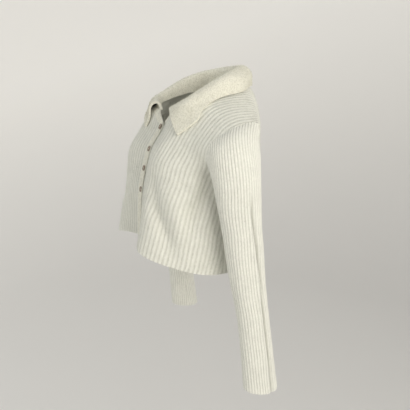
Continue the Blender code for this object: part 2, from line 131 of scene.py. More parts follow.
class Finish:
    """A material with its Principled shader and one way to add a node."""

    def __init__(self, name, **constants):
        self.material = bpy.data.materials.new(name)
        self.material.use_nodes = True
        self.tree = self.material.node_tree
        self.shader = self.tree.nodes["Principled BSDF"]
        for socket, value in constants.items():
            self.shader.inputs[socket.replace("_", " ")].default_value = value

    def node(self, kind, settings, values=()):
        made = self.tree.nodes.new(kind)
        for name, value in settings.items():
            if name == "stops":
                self.set_stops(made.color_ramp, value)
            else:
                setattr(made, name, value)
        named = values.items() if isinstance(values, dict) else enumerate(values)
        for key, value in named:
            if isinstance(value, Wire):
                self.tree.links.new(value.socket, made.inputs[key])
            else:
                made.inputs[key].default_value = value
        return Wire(self, next(s for s in made.outputs if s.enabled))

    def set_stops(self, ramp, stops):
        while len(ramp.elements) < len(stops):
            ramp.elements.new(0.5)
        for element, (place, colour) in zip(ramp.elements, stops):
            element.position, element.color = place, (*colour, 1.0)

    def feed(self, socket, wire):
        self.tree.links.new(wire.socket, self.shader.inputs[socket])

    def mix(self, share, low, high, blend="MIX"):
        low, high = ((*c, 1.0) if isinstance(c, tuple) else c for c in (low, high))
        settings = {"data_type": "RGBA", "blend_type": blend}
        values = {FACTOR: share, FIRST_COLOUR: low, SECOND_COLOUR: high}
        return self.node("ShaderNodeMix", settings, values)

    def places(self):
        return self.node("ShaderNodeTexCoord", {}).out("Object")

    def noise(self, places, **numbers):
        return self.node("ShaderNodeTexNoise", {}, {"Vector": places, **numbers})


print("shader class ready")

# %% [markdown]
# ## The room
#
# The garment is shown against a plain pale wall in soft light. A round bowl, with a
# floor that curves up into its wall, gives every view the same plain ground. Its
# colour carries painted light, lightest to the left and darker towards the floor,
# and it glows a little. Three wide area lights stand for a window, the room's own
# bounce and its ceiling.

# %% Shapes spun from half a section
def spun(profile, steps, merge):
    """A profile of radius and height turned round z."""
    made = bmesh.new()
    verts = [made.verts.new((r, 0.0, z)) for r, z in profile]
    edges = [made.edges.new(pair) for pair in zip(verts, verts[1:])]
    bmesh.ops.spin(made, geom=verts + edges, cent=(0, 0, 0), axis=(0, 0, 1), angle=2 * np.pi,
                   steps=steps, use_merge=True)
    bmesh.ops.remove_doubles(made, verts=made.verts, dist=merge)
    bmesh.ops.recalc_face_normals(made, faces=made.faces)
    return made


def meshed(name, made):
    """The mesh of what was made, which is then let go."""
    mesh = bpy.data.meshes.new(name)
    made.to_mesh(mesh)
    made.free()
    return mesh


# %% Bowl
FLOOR = -1.42           # the floor under a wearer's feet, from the neck
BOWL_RADIUS, BOWL_BEND, BOWL_TOP = 3.4, 1.2, 3.2
BOWL_STEPS = 72
PLASTER = (0.88, 0.865, 0.835)
WALL_LIGHT_AT_NECK = 0.93     # painted light of the wall level with the neck
PICTURE_RIGHT = (0.415, 0.91)         # the picture's right, along the floor
PAINTED_LIGHT_ACROSS, PAINTED_LIGHT_UP = 0.045, 0.14    # change of the painted light in a metre


def bowl_profile(steps=10):
    turn = np.linspace(0.0, np.pi / 2, steps)
    out = BOWL_RADIUS - BOWL_BEND + BOWL_BEND * np.sin(turn)
    up = FLOOR + BOWL_BEND * (1.0 - np.cos(turn))
    return [(0.0, FLOOR), *zip(out, up), (BOWL_RADIUS, BOWL_TOP)]


shell = spun(bowl_profile(), BOWL_STEPS, merge=1e-5)
bmesh.ops.reverse_faces(shell, faces=shell.faces)
bowl = add("bowl", meshed("bowl", shell))
bowl.data.shade_smooth()
# the plaster glows a little in its own colour, which carries painted light
plaster = Finish("pale_plaster_painted_light", Roughness=0.9, Specular_IOR_Level=0.1, Emission_Strength=0.18)
# painted light and shade: the wall's colour is lightest to the left of the picture and darker
# towards the floor
place = plaster.node("ShaderNodeSeparateXYZ", {}, [plaster.places()])
right = place.out("X") * PICTURE_RIGHT[0] + place.out("Y") * PICTURE_RIGHT[1]
tone = (WALL_LIGHT_AT_NECK - right * PAINTED_LIGHT_ACROSS + place.out("Z") * PAINTED_LIGHT_UP).clamped()
painted_wall_light = plaster.mix(tone, (0.0, 0.0, 0.0), PLASTER)
plaster.feed("Base Color", painted_wall_light)
plaster.feed("Emission Color", painted_wall_light)
bowl.data.materials.append(plaster.material)
print("bowl faces:", len(bowl.data.polygons))

# %% Lights
SKY, SKY_STRENGTH = (0.92, 0.95, 1.0, 1.0), 0.29
LIGHTS = {
    # name: place, size, watts, colour
    "window": ((2.4, 0.3, 0.5), 1.6, 42.0, (1.0, 0.965, 0.90)),
    "bounce": ((-0.8, -2.4, 0.6), 2.0, 11.0, (0.88, 0.96, 1.0)),
    "ceiling": ((-0.2, 0.1, 2.6), 2.6, 3.0, (0.97, 0.99, 1.0)),
}
for name, (place, size, watts, colour) in LIGHTS.items():
    light = add(name, bpy.data.lights.new(name, "AREA"))
    light.data.size, light.data.energy, light.data.color = size, watts, colour
    light.location = place
    light.rotation_mode = "QUATERNION"
    light.rotation_quaternion = (-light.location).to_track_quat("-Z", "Y")
world = bpy.data.worlds.new("room")
world.use_nodes = True
sky = world.node_tree.nodes["Background"]
sky.inputs["Color"].default_value = SKY
sky.inputs["Strength"].default_value = SKY_STRENGTH
bpy.context.scene.world = world
bpy.context.scene.view_settings.view_transform = "Standard"
print("lights:", ", ".join(LIGHTS))

# %% [markdown]
# ## The form it is worn in
#
# A dressmaker's block is drawn as cross lines. Here each line runs over the left
# half of the body from the centre to the side, and the lines climb from the front
# hem (level 0) to the shoulder seam (1) and down the back to its hem (2). A smooth
# cubic passes through them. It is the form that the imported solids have, read much
# more finely.

# %% Driving sizes
RIB = 0.0092            # one rib of the body, crest to crest, as the wearer stretches it
SLEEVE_RIB = 0.0058     # the same rib on the empty sleeves
RIB_RISE = 0.0015       # crest over valley
WALL = 0.0022           # thickness of the knitted cloth
SEAM = 0.00010          # space between two sewn pieces
COURSE = 0.0024         # one knitted row
BAND_WIDTH, BAND_LIFT = 0.030, 0.0018
BAND_TOP = 0.84         # body level of its upper end
COLLAR_WALL = 0.0048
FRONT_LENGTH, SLEEVE_LENGTH = 0.55, 0.56
BACK_LENGTH = FRONT_LENGTH * 0.82
FINE = 240              # points read along a half line

# %% Lines of the body and the armhole
def metres(places):
    """Places from a table, which is written in millimetres."""
    return np.array(places, float) / 1000


# closed armhole of the left side, from the shoulder forwards: x, y, z
ARMHOLE = metres([
    (204, 1, -68), (199.5, -44, -77), (189, -85, -107), (176.5, -80, -154),
    (166, -38, -193), (171, 1, -172), (184, 11, -130), (197.5, 10, -93),
])
UNDERARM = 0.5          # its place on the armhole
UNDER_LEVELS = (0.46, 1.54)    # body levels of the underarm, front and back
SLEEVE_TOP = 0.90       # body level met by the line up the sleeve's outer side

SECTIONS = [
    # level, centre y z, fold x y z, flank x y z, side x y z (millimetres) or armhole place
    (0.00, (-167, -328), (78, -198, -334), (130, -142, -361), (157, -45, -381)),
    (0.14, (-166, -290), (79, -188, -288), (136, -136, -305), (160, -42, -322)),
    (0.30, (-163, -232), (80, -177, -230), (143, -127, -240), (162, -38, -255)),
    (0.46, (-153, -178), (82, -167, -177), (145, -122, -180), 0.500),
    (0.53, (-146, -153), (82, -164, -152), (144, -119, -154), 0.415),
    (0.60, (-137, -128), (82, -154, -128), (143, -112, -128), 0.330),
    (0.73, (-110, -84), (86, -125, -86), (141, -95, -87), 0.225),
    (0.85, (-96, -50), (86, -97, -47), (139, -60, -52), 0.120),
    (0.93, (-50, -22), (92, -42, -24), (141, -24, -37), 0.050),
    (1.00, (10, 0), (94, 24, -12), (144, 22, -40), 0.000),
    (1.08, (74, 4), (80, 60, -16), (138, 40, -50), -0.040),
    (1.22, (92, -60), (68, 84, -66), (129, 51, -80), -0.120),
    (1.38, (98, -128), (70, 88, -128), (130, 50, -130), -0.245),
    (1.46, (99, -157), (70, 89, -157), (132, 46, -158), -0.360),
    (1.54, (100, -185), (70, 90, -185), (135, 42, -186), -0.500),
    (1.70, (102, -252), (70, 94, -252), (134, 44, -252), (162, -38, -255)),
    (1.86, (103, -323), (71, 95, -322), (132, 43, -321), (160, -42, -322)),
    (2.00, (104, -388), (72, 96, -387), (131, 42, -385), (157, -45, -381)),
]
LEVELS = [row[0] for row in SECTIONS]


# %% A smooth curve through given points
def unit(v):
    return v / np.linalg.norm(v, axis=-1, keepdims=True)


def lengths(points):
    """Length run so far along the next to last axis."""
    steps = np.linalg.norm(np.diff(points, axis=-2), axis=-1)
    return np.concatenate([np.zeros(steps.shape[:-1] + (1,)), np.cumsum(steps, axis=-1)], axis=-1)


def spline(knots, points, at, start=None, end=None):
    """Smooth cubic through points at knots; free ends unless a slope is given."""
    k, p = np.asarray(knots, float), np.asarray(points, float)
    shape = p.shape[1:]
    p = p.reshape(len(k), -1)
    n, h = len(k), np.diff(k)
    a, b = np.zeros((n, n)), np.zeros((n, p.shape[1]))
    for i in range(1, n - 1):
        a[i, i - 1:i + 2] = h[i], 2 * (h[i - 1] + h[i]), h[i - 1]
        b[i] = 3 * (h[i] * (p[i] - p[i - 1]) / h[i - 1] + h[i - 1] * (p[i + 1] - p[i]) / h[i])
    a[0, :2], b[0] = ((2, 1), 3 * (p[1] - p[0]) / h[0]) if start is None else ((1, 0), start)
    a[-1, -2:], b[-1] = ((1, 2), 3 * (p[-1] - p[-2]) / h[-1]) if end is None else ((0, 1), end)
    m = np.linalg.solve(a, b)
    at = np.atleast_1d(np.asarray(at, float))
    i = np.clip(np.searchsorted(k, at, side="right") - 1, 0, n - 2)
    w, g = ((at - k[i]) / h[i])[:, None], h[i][:, None]
    r = ((2 * w**3 - 3 * w**2 + 1) * p[i] + (w**3 - 2 * w**2 + w) * g * m[i]
         + (3 * w**2 - 2 * w**3) * p[i + 1] + (w**3 - w**2) * g * m[i + 1])
    return r.reshape((len(at),) + shape)


def armhole(place):
    """Point on the armhole; 0 is the shoulder, 0.25 the front, 0.5 under the arm."""
    n = len(ARMHOLE)
    looped = np.vstack([ARMHOLE[-3:], ARMHOLE, ARMHOLE[:4]])
    return spline(np.arange(-3, n + 4) / n, looped, np.mod(place, 1.0))


# %% Read the body form
def section(row):
    level, centre, fold, flank, edge = row
    on_side = isinstance(edge, tuple)
    end = metres(edge) if on_side else armhole([edge])[0]
    p = np.array([*metres([(0, *centre), fold, flank]), end])
    run = lengths(p)
    slope = (0.0, 1.0 if level < 1 else -1.0, 0.0) if on_side or abs(edge) == UNDERARM else None
    return spline(run, p, np.linspace(0, run[-1], FINE + 1), start=(1.0, 0.0, 0.0), end=slope)


BODY_GRID = np.array([section(row) for row in SECTIONS])


def surface(grid):
    """A form as its points, outward normals and run along each row."""
    normal = unit(np.cross(np.gradient(grid, axis=1), np.gradient(grid, axis=0)))
    return grid, normal, lengths(grid)


def body_form(levels):
    return surface(spline(LEVELS, BODY_GRID, levels))


print("half width over the hem:", round(float(body_form([0.0, 0.01])[2][0, -1]), 4), "m")

# %% [markdown]
# ## Sleeves
#
# A sleeve hangs empty, so it is a flattened tube. It starts on the armhole itself
# and passes through a few rings, each tilted less than the one above, down to the
# cuff.

# %% Rings of the sleeve
SLEEVE_RINGS = [
    # level; x, y, z, half width out and fore, in millimetres; tilt and lean in degrees
    (0.07, 202.5, -39.5, -143, 52, 48.5, 60, 0),
    (0.14, 210.5, -38.8, -180, 40, 44, 33, 0),
    (0.23, 212, -34.4, -220, 33, 42, 12, 0),
    (0.34, 212, -25.4, -280, 29, 40, 0, 3),
    (0.50, 212.5, -15.2, -365, 27, 37.2, 0, 6),
    (0.66, 213.5, 0, -453, 26, 33.5, 0, 7),
    (0.83, 216, 12.4, -545, 25.5, 34.5, 0, 8),
    (1.00, 219, 22.2, -633, 25.5, 37.5, 0, 8),
]
PLACES = np.linspace(0, 1, 2 * FINE + 1)
EDGE_STEPS = 400


def sample(at, knots, values):
    return np.stack([np.interp(at, knots, values[:, i]) for i in range(values.shape[1])], 1)


def panel_armhole():
    """The panels' own edge round the arm, walked by its length."""
    halves = []
    for under in UNDER_LEVELS:
        edge = spline(LEVELS, BODY_GRID[:, -1], np.linspace(SLEEVE_TOP, under, EDGE_STEPS))
        run = lengths(edge)
        halves.append((run / run[-1] / 2, edge))
    fore = sample(np.minimum(PLACES, 0.5), *halves[0])
    rear = sample(np.minimum(1 - PLACES, 0.5), *halves[1])
    return np.where(PLACES[:, None] <= 0.5, fore, rear)


def ring(row):
    x, y, z, out, fore = metres(row[1:6])
    tilt, lean = np.radians(row[6:])
    turn = 2 * np.pi * PLACES
    across, back = out * np.cos(turn), -fore * np.sin(turn)
    up = z + across * np.sin(tilt) - back * np.tan(lean)
    return np.stack([x + across * np.cos(tilt), y + back, up], 1)


RING_LEVELS = [0.0] + [row[0] for row in SLEEVE_RINGS]
RING_GRID = np.array([panel_armhole()] + [ring(row) for row in SLEEVE_RINGS])
UNDER_TO_UNDER = np.concatenate([np.arange(FINE, 2 * FINE), np.arange(0, FINE + 1)])


def sleeve_form(levels):
    """Rows from under the arm round the back, the top (run 0) and the front."""
    grid = spline(RING_LEVELS, RING_GRID, levels)[:, UNDER_TO_UNDER]
    grid, _, run = surface(grid)
    along = np.gradient(grid, axis=1)
    along[:, 0] = along[:, -1] = grid[:, 1] - grid[:, -2]
    normal = unit(np.cross(along, np.gradient(grid, axis=0)))
    return grid, normal, run - run[:, FINE:FINE + 1]


print("round the cuff:", round(float(np.ptp(sleeve_form([0.99, 1.0])[2][1])), 4), "m")

# %% [markdown]
# ## Folds
#
# Worn knit never lies quite smooth. The folds here are placed where the
# picture has them, and like ones where it can't see. Each is a line of places with
# a width and a depth, so it can start shallow, deepen and die away. A depth below
# zero is a ridge.

# %% Fold lines
FOLDS = {
    # each point, in millimetres: x, y, z, width, depth
    "front_left": [
        [(92, -165, -150, 13, 0), (95, -168, -190, 14, 5), (106, -168, -240, 16, 12),
         (120, -158, -280, 17, 12), (130, -150, -315, 18, 8), (140, -140, -345, 18, 2)],
        [(132, -144, -200, 18, -2), (137, -138, -228, 18, -6), (143, -124, -275, 20, -6),
         (146, -116, -320, 22, -1)],
        [(128, -144, -192, 8, 0), (145, -122, -189, 8, 3.5), (156, -100, -190, 10, 1)],
        [(173, -84, -160, 16, 5), (162, -85, -205, 18, 13), (152, -108, -250, 19, 11),
         (147, -116, -300, 18, 4), (146, -112, -340, 20, 0)],
    ],
    "front_right": [
        [(-90, -172, -190, 14, 0), (-94, -178, -240, 15, 6), (-124, -153, -290, 15, 5),
         (-128, -148, -345, 17, 1)],
        [(-168, -82, -180, 15, 3), (-160, -90, -230, 16, 7), (-150, -108, -300, 18, 4),
         (-150, -100, -345, 20, 0)],
        [(-134, -140, -196, 10, 0), (-150, -116, -198, 10, 3), (-160, -94, -196, 10, 0)],
    ],
    "back": [
        [(160, 12, -175, 14, 4), (140, 34, -220, 18, 6), (118, 56, -290, 22, 3),
         (110, 64, -340, 22, 0)],
        [(60, 90, -150, 18, 0), (52, 96, -220, 22, 5), (34, 101, -320, 24, 3)],
        [(-156, 14, -180, 15, 4), (-134, 40, -235, 19, 6), (-110, 62, -320, 22, 2)],
        [(-54, 94, -130, 20, 0), (-48, 97, -200, 22, 4), (-42, 101, -300, 26, 3)],
        [(110, 62, -80, 16, 0), (80, 78, -100, 18, 3), (30, 91, -110, 20, 1)],
    ],
    "sleeve_left": [
        [(244, -32, -190, 3.4, 0), (243, -24, -235, 3.4, 5), (239, -11, -304, 3.4, 6),
         (238, 1, -365, 3.6, 7), (238, 12, -459, 3.6, 6), (240, 27, -557, 3.6, 6),
         (242, 36, -633, 4, 4)],
        [(244, -40, -200, 5, 0), (241, -19, -304, 5, -2), (240, -7, -365, 5, -2.8),
         (240, 4, -459, 5, -2), (242, 19, -557, 5, -2), (243, 28, -625, 5, 0)],
        [(222, -68, -240, 10, 0), (220, -54, -340, 11, 3), (219, -36, -440, 11, 1)],
        [(180, -40, -230, 11, 4), (187, -8, -430, 11, 4)],
        [(232, 4, -200, 9, 0), (228, 12, -260, 10, 3), (226, 22, -330, 11, 0)],
    ],
    "sleeve_right": [
        [(-243, -30, -200, 4, 0), (-239, -16, -300, 4, 5), (-237, 4, -420, 4, 6),
         (-240, 24, -550, 4, 5), (-242, 30, -633, 4, 3)],
        [(-180, -40, -230, 11, 4), (-187, -8, -430, 11, 4)],
        [(-222, -62, -260, 11, 0), (-220, -44, -380, 12, 3), (-220, -26, -480, 12, 0)],
    ],
}


def sinking(points, folds):
    """How far each point sinks at the folds that pass near it."""
    total = np.zeros(points.shape[:-1])
    for fold in folds:
        nearest = np.full(total.shape, np.inf)
        depth = np.zeros(total.shape)
        for start, end in zip(fold, fold[1:]):
            a, b = metres(start), metres(end)
            along = b[:3] - a[:3]
            t = np.clip((points - a[:3]) @ along / (along @ along), 0, 1)
            far = np.linalg.norm(points - (a[:3] + t[..., None] * along), axis=-1)
            width, deep = a[3] + t * (b[3] - a[3]), a[4] + t * (b[4] - a[4])
            closer = far < nearest
            nearest = np.where(closer, far, nearest)
            depth = np.where(closer, deep * np.exp(-(far / width) ** 2), depth)
        total += depth
    return total


print("folds:", {name: len(folds) for name, folds in FOLDS.items()})

# %% [markdown]
# ## Wrapping a sheet
#
# A knitted panel is a flat sheet whose ribs all run one way. So each panel starts
# as a flat grid with six columns to a rib and is wrapped onto the form, each column
# at its own run from the centre, which keeps the ribs true on the cloth. Columns
# that pass the cut edge are drawn in to it and merged there. Solidify adds the wall.

# %% Lay a grid on given places
SEWN_GAP, SPECK = 2e-6, 1e-6    # points nearer than this are one, edges shorter are none


def lay(name, places, pattern, turned=False, hollow_shade=None):
    """A flat grid wrapped onto places, with its map for the knit.

    The last argument says, from 0 to 1, where painted shade darkens the cloth in its creases and
    rib valleys.
    """
    rows, columns = places.shape[:2]
    flat = bmesh.new()
    bmesh.ops.create_grid(flat, x_segments=columns - 1, y_segments=rows - 1, size=1.0)
    mesh = meshed(name, flat)
    at = np.empty(len(mesh.vertices) * 3)
    mesh.vertices.foreach_get("co", at)
    at = (at.reshape(-1, 3) + 1) / 2
    column = np.rint(at[:, 0] * (columns - 1)).astype(int)
    row = np.rint(at[:, 1] * (rows - 1)).astype(int)
    mesh.vertices.foreach_set("co", places[row, column].ravel())
    corner = np.empty(len(mesh.loops), dtype=np.int32)
    mesh.loops.foreach_get("vertex_index", corner)
    knit = mesh.uv_layers.new(name="knit")
    knit.data.foreach_set("uv", pattern[row[corner], column[corner]].ravel())
    if hollow_shade is not None:
        # painted shade, kept as a value on each point for the finish to read
        crease = mesh.attributes.new("crease", "FLOAT", "POINT")
        crease.data.foreach_set("value", hollow_shade[row, column].astype(np.float32))
    sewn = bmesh.new()
    sewn.from_mesh(mesh)
    bmesh.ops.remove_doubles(sewn, verts=sewn.verts, dist=SEWN_GAP)
    bmesh.ops.dissolve_degenerate(sewn, dist=SPECK, edges=sewn.edges)
    if turned:
        bmesh.ops.reverse_faces(sewn, faces=sewn.faces)
    sewn.to_mesh(mesh)
    sewn.free()
    mesh.shade_smooth()
    return add(name, mesh)


def thicken(item, wall):
    """Cloth of a given wall, half of it on each side of the sheet."""
    solid = item.modifiers.new("wall", "SOLIDIFY")
    solid.thickness, solid.offset = wall, 0.0
    solid.use_even_offset = False


# %% Read a form at given runs
def read(form, at, signs):
    """Points and normals of a form, row by row, at runs counted from its middle.

    They are turned over to the wearer's right where the sign is below 0.
    """
    grid, normal, run = form
    count = grid.shape[1]
    t = np.stack([np.interp(at[i], run[i], np.arange(count)) for i in range(len(grid))])
    low = np.clip(t.astype(int), 0, count - 2)
    part, row = (t - low)[..., None], np.arange(len(grid))[:, None]
    both = [g[row, low] * (1 - part) + g[row, low + 1] * part for g in (grid, normal)]
    signs = np.broadcast_to(signs, at.shape)[..., None]
    return [np.concatenate([v[..., :1] * signs, v[..., 1:]], -1) for v in (both[0], unit(both[1]))]


SAMPLES = 6             # columns to a rib
RIB_SHARE = 0.6         # how blunt the crest is
WANDER = 0.0007         # how far a rib of the body strays sideways
SLEEVE_WANDER = 0.7     # share of it on a sleeve
BODY_RISE, SLEEVE_RISE = 0.80, 0.85    # shares of RIB_RISE that stand on the cloth
UNEVEN_RISE = 0.15      # share of RIB_RISE by which it swells and sinks
WAVES, WAVE_SHIFT = ((61.0, 47.0, 83.0), (-97.0, 71.0, -53.0)), 1.3    # phase in a metre


def rib(run, pitch=RIB):
    """Height of the ribs at a run, 0 in a valley and 1 on a crest."""
    return (0.5 + 0.5 * np.cos(2 * np.pi * run / pitch)) ** RIB_SHARE


def uneven(points):
    """Slow waves from -1 to 1, by which real ribs wander and swell."""
    return (np.sin(points @ WAVES[0]) + np.sin(points @ WAVES[1] + WAVE_SHIFT)) / 2


def rib_rise(points, share):
    return RIB_RISE * (share - UNEVEN_RISE * uneven(points * 2))


def knit_map(ribs, levels, length):
    """A sheet's map for the knit: ribs across it and rows along it."""
    return np.stack([ribs, np.broadcast_to(levels[:, None] * length / COURSE, ribs.shape)], -1)


def rib_columns(start, stop, pitch=RIB):
    step = pitch / SAMPLES
    return np.arange(np.floor(start / step), np.ceil(stop / step) + 1) * step


print("rib heights:", np.round(rib(rib_columns(0, RIB)), 2))

# %% [markdown]
# ## Cutting the panels
#
# The fronts begin at the band and the neckline, the back at its centre, and each
# ends at the side seam or the armhole. The right front is the left one turned over,
# with its own folds and a neckline that runs nearer to the throat. Below the bust
# the stretched ribs of the fronts swing inward. Rows are about 4 mm apart, and the
# rows that meet at a seam step back from it by half the space between two pieces.

# %% Neckline and rows
BAND_SEAM = 0.0154      # run at which a front is sewn to its band
# each neckline: level, run from the centre
NECK_FRONT = [
    (0.00, BAND_SEAM), (0.73, BAND_SEAM),
    (0.76, 0.0320), (0.79, 0.0500), (0.84, 0.0780), (0.92, 0.0950), (1.00, 0.0970),
]
# the right front stands closer to the throat
NECK_RIGHT = NECK_FRONT[:2] + [
    (0.76, 0.0260), (0.79, 0.0380), (0.84, 0.0620), (0.88, 0.0865), (0.92, 0.0950), (1.00, 0.0970),
]
NECK_BACK = [(1.00, 0.0970), (1.04, 0.0700), (1.065, 0.0380), (1.076, 0.0000)]
HALF_SEAM = SEAM / 2
ROW = 0.0042            # space between rows of the grid


def rows_between(low, high, length):
    """Levels from one to the other, stepped back half a seam at both."""
    step = HALF_SEAM / length
    return np.linspace(low + step, high - step, int(round((high - low) * length / ROW)))


LEAN = 0.024            # how far the ribs of a front have swung inward at the hem
BUST, SWUNG = 0.64, 0.46        # level where that begins, and levels until it is full
SWING_REACH = 0.080             # run from the band until it is full
SWING_ROUNDS = 12               # times that a column's run is corrected for it


def swing(levels, run):
    """How far a front's ribs are swung inward below the bust."""
    down = np.clip((BUST - levels[:, None]) / SWUNG, 0, 1)
    out = np.clip((run - BAND_SEAM) / SWING_REACH, 0, 1)
    return LEAN * down**2 * (3 - 2 * down) * out**2 * (3 - 2 * out)


# %% Wrap a panel
SHOULDER_RISE, SHOULDER_SPREAD = 1.1, 0.14    # extra share of rib height, and its levels
VALLEY_SHADE_SPREAD = 0.13            # levels either side of the shoulder where rib valleys take painted shade


def near_shoulder(levels, spread):
    """1 at the shoulder seam, falling to 0 in a few times the spread."""
    return np.exp(-((levels[:, None] - 1) / spread) ** 2)


def wrap_panel(name, levels, half_columns, starts, folds, side):
    """One panel of the body; side is 1 for the left, -1 for the right, 0 for both."""
    form = body_form(levels)
    stops = form[2][:, -1] - HALF_SEAM
    columns = half_columns if side else np.concatenate([-half_columns[:0:-1], half_columns])
    signs = side if side else np.where(columns < 0, -1.0, 1.0)
    nominal = np.abs(columns)[None] * np.ones((len(levels), 1))
    at = nominal
    for _ in range(SWING_ROUNDS if side else 0):
        at = nominal - swing(levels, at)
    at = np.clip(at, starts[:, None], stops[:, None])
    points, normals = read(form, at, signs)
    # the ribs wander a little, and stand up most where they bend over the shoulder
    phase = at + (WANDER * uneven(points) + (swing(levels, at) if side else 0))
    bent = 1 + SHOULDER_RISE * near_shoulder(levels, SHOULDER_SPREAD)
    offset = rib_rise(points, BODY_RISE) * bent * rib(phase) - sinking(points, folds)
    places = points + normals * offset[..., None]
    # painted shade darkens the rib valleys over the shoulder
    shoulder_valley_shade = (1 - rib(phase)) * near_shoulder(levels, VALLEY_SHADE_SPREAD)
    pattern = knit_map(phase * signs / RIB, levels, FRONT_LENGTH)
    return lay(name, places, pattern, side == -1, shoulder_valley_shade)


def neck_start(levels, neckline):
    return np.interp(levels, *zip(*neckline))


BODY_REACH = 0.305      # a run past the widest row
BODY_HALF = rib_columns(0.0, BODY_REACH)
FRONT_LEVELS = rows_between(0.0, 1.0, FRONT_LENGTH)
BACK_LEVELS = rows_between(1.0, 2.0, BACK_LENGTH)
panels = {}
for name, levels, neckline, side in (
    ("front_left", FRONT_LEVELS, NECK_FRONT, 1),
    ("front_right", FRONT_LEVELS, NECK_RIGHT, -1),
    ("back", BACK_LEVELS, NECK_BACK, 0),
):
    starts = neck_start(levels, neckline)
    panels[name] = wrap_panel(f"knit_{name}", levels, BODY_HALF, starts, FOLDS[name], side)
print("panel faces:", {name: len(item.data.polygons) for name, item in panels.items()})

# %% [markdown]
# ## Wrapping the sleeves
#
# A sleeve is one panel sewn into a tube, so its grid runs from the underarm seam
# right round to it again, and its two side edges are merged. It is wide at the
# armhole and narrow at the cuff, and the ribs that don't fit run out at the seam,
# as they do where a knitter decreases.

# %% Wrap a sleeve
SLEEVE_HALF = 0.205     # half the width of a sleeve's sheet
CLEAR_RUN = 0.04        # run from the underarm seam until the ribs stand fully
CLEAR_FROM, CLEAR_SLOPE = 0.04, 5    # level where they start to rise, and how fast
PRESSED = 5             # a fold narrower than this, in millimetres, is a pressed crease
CREASE_SHADE_DEPTH = 0.006    # depth at which a crease's painted shade is full


def wrap_sleeve(name, folds, side):
    levels = rows_between(0.0, 1.0, SLEEVE_LENGTH)
    form = sleeve_form(levels)
    ends = form[2][:, :1], form[2][:, -1:]
    at = np.clip(rib_columns(-SLEEVE_HALF, SLEEVE_HALF, SLEEVE_RIB)[None], *ends)
    points, normals = read(form, at, side)
    # the ribs lie down where the sleeve presses on the body under the arm
    clear = np.minimum(at - ends[0], ends[1] - at) / CLEAR_RUN
    clear = np.clip(clear + CLEAR_SLOPE * levels[:, None] - CLEAR_SLOPE * CLEAR_FROM, 0, 1)
    phase = at + WANDER * SLEEVE_WANDER * uneven(points)
    offset = rib_rise(points, SLEEVE_RISE) * rib(phase, SLEEVE_RIB) * clear - sinking(points, folds)
    places = points + normals * offset[..., None]
    places[:, -1] = places[:, 0]
    # painted shade along the pressed creases
    creases = [fold for fold in folds if fold[0][3] < PRESSED]
    crease_shade = np.clip(sinking(points, creases) / CREASE_SHADE_DEPTH, 0, 1)
    pattern = knit_map(phase / SLEEVE_RIB, levels, -SLEEVE_LENGTH)
    return lay(name, places, pattern, side == 1, crease_shade)


for name, side in (("sleeve_left", 1), ("sleeve_right", -1)):
    panels[name] = wrap_sleeve(f"knit_{name}", FOLDS[name], side)
print("sleeve faces:", len(panels["sleeve_left"].data.polygons))

# %% [markdown]
# ## Bands
#
# A band is a plain strip, knitted flat and sewn to the front edge. The right band
# lies on the left one. A fine grid is wrapped along the centre front in the same
# way and lifted out or in.

# %% Wrap the bands
BAND_COLUMNS = 21
CURL, CURL_POWER = 0.0024, 6    # lift of the free edge, and how late it starts


def wrap_band(name, side, lift):
    levels = rows_between(0.0, BAND_TOP, FRONT_LENGTH)
    form = body_form(levels)
    seam = neck_start(levels, NECK_FRONT if side == 1 else NECK_RIGHT) - SEAM
    run = seam[:, None] - BAND_WIDTH + np.linspace(0, BAND_WIDTH, BAND_COLUMNS)[None]
    points, normals = read(form, np.abs(run), np.where(run < 0, -1.0, 1.0))
    # the free edge of the upper band curls off the other a little
    curl = (CURL if lift > 0 else 0.0) * np.linspace(1, 0, BAND_COLUMNS) ** CURL_POWER
    places = points + normals * (lift + curl)[..., None]
    places[..., 0] *= side
    return lay(name, places, knit_map(run / RIB, levels, FRONT_LENGTH), side == -1)


bands = {}
for name, side in (("band_left", 1), ("band_right", -1)):
    bands[name] = wrap_band(f"flat_{name}", side, -side * BAND_LIFT)
print("band faces:", {name: len(item.data.polygons) for name, item in bands.items()})

# %% [markdown]
# ## Collar
#
# The collar stands up from the neckline, rolls over and falls on the shoulders. It
# is given by stations from its front end to the centre back: where it is sewn, the
# top of its fold, the outside of its roll, the middle of its fall and its edge.
# One smooth curve goes through each row of stations, right round the neck.

# %% Stations of the collar
COLLAR_LEFT = [
    # base, fold, roll, then fall and edge: x, y, z, or a body level, run and lift
    ((0.85, 48), (49, -109, -45), (62, -116, -50), (0.772, 89, 6.5), (0.698, 120, 6)),
    ((0.851, 76.5), (84, -96, -30), (96, -102, -35), (0.825, 114, 8), (0.785, 142, 5.8)),
    ((0.88, 84.2), (92, -76, -17), (105, -80, -22), (0.865, 118, 9), (0.845, 135, 5.2)),
    ((0.92, 92.6), (95, -48, 0), (108, -49, -5), (0.913, 119, 10), (0.903, 127, 5.2)),
    ((0.96, 93.6), (94, -17, 16), (107, -16, 11), (0.957, 113, 11), (0.952, 117, 5.5)),
    ((1.0, 94.6), (82, 16, 29), (95, 21, 23), (1.0, 105, 13), (1.0, 108, 6)),
    ((1.034, 66), (56, 48, 37), (64, 59, 30), (1.052, 74, 14), (1.056, 76, 7.2)),
    ((1.054, 36), (31, 64, 40), (35, 77, 33.2), (1.086, 42, 14), (1.094, 44, 7.2)),
    ((1.066, 0), (0, 69, 41), (0, 83, 34), (1.098, 0, 14), (1.108, 0, 7.2)),
]
